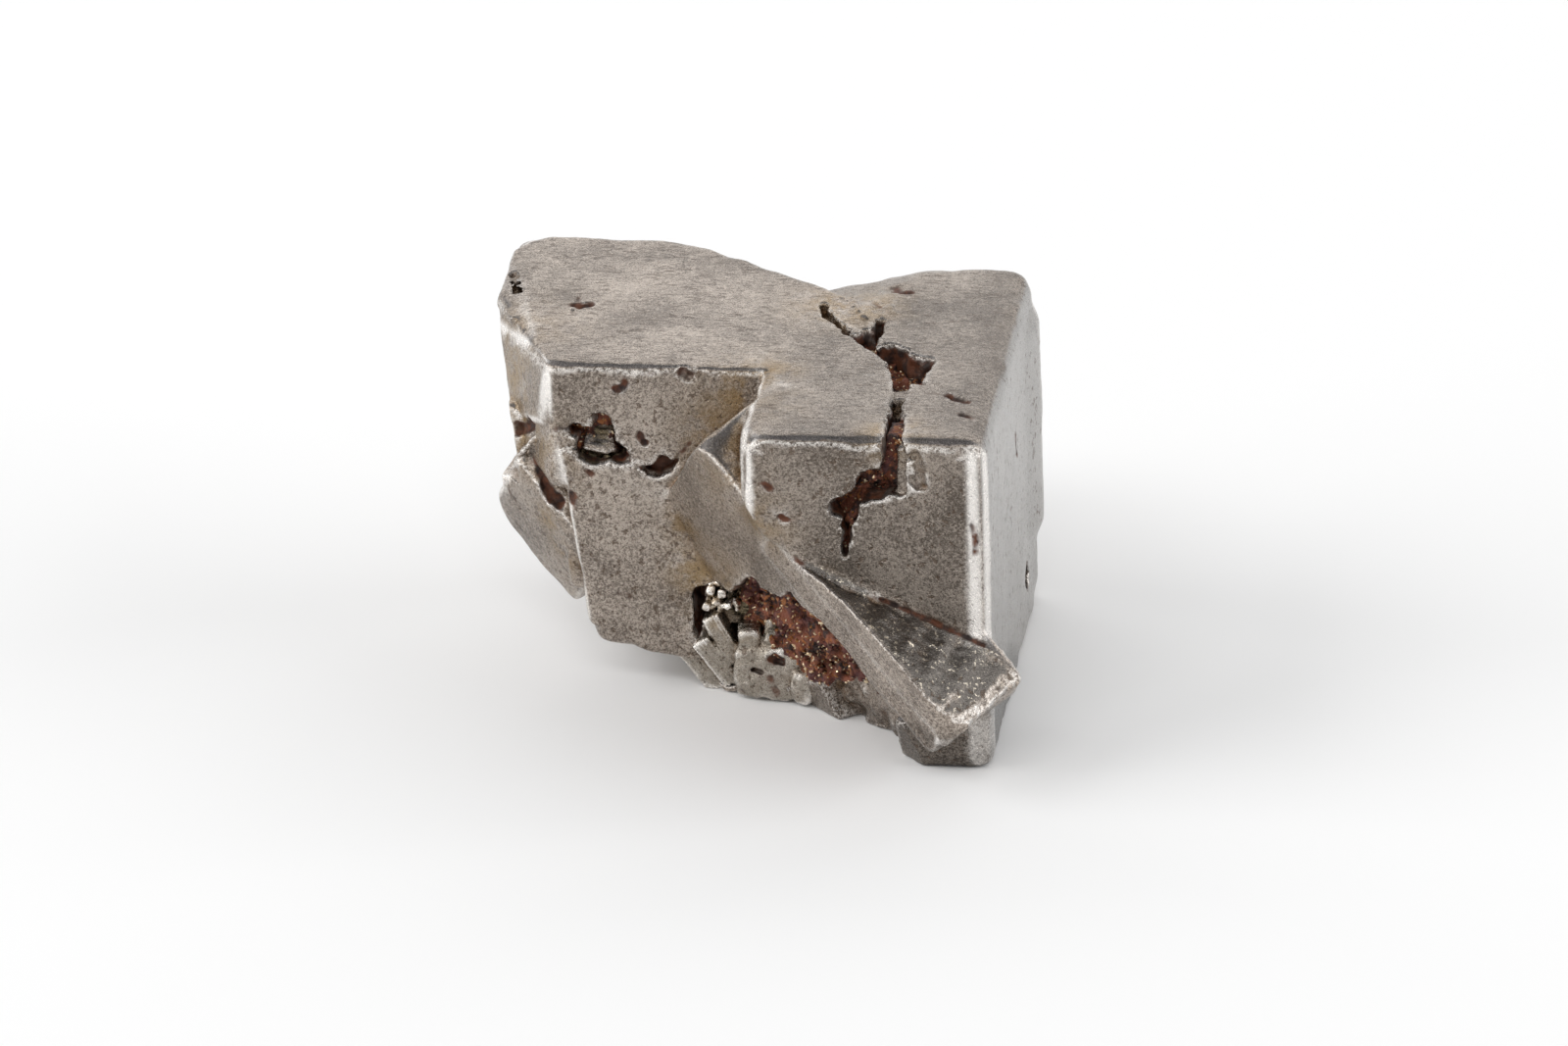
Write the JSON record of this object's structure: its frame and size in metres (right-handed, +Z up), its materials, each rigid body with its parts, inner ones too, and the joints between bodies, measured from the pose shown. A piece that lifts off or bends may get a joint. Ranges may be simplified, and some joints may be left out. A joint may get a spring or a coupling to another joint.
{
  "type": "isoferroplatinum specimen",
  "caption": "Natural cluster of worn cubic metal crystals grown through each other, with iron oxide in its hollows, resting on a flat crystal face.",
  "frame": {"origin": "middle of the bounding box at the level of the flat crystal face that the specimen rests on", "axes": "+Z up, +Y to the back as seen in the picture, +X to the right; the front with the diagonal slab faces -Y"},
  "size_m": [0.0142, 0.0168, 0.0091],
  "materials": {
    "metal": "satin",
    "iron_oxide": "matte"
  },
  "bodies": {
    "root": {"crystal_cluster": "metal", "oxide_front_crack": "iron_oxide", "oxide_top_hollow": "iron_oxide", "oxide_under_slab": "iron_oxide", "oxide_left_hollow": "iron_oxide"}
  },
  "joints": []
}
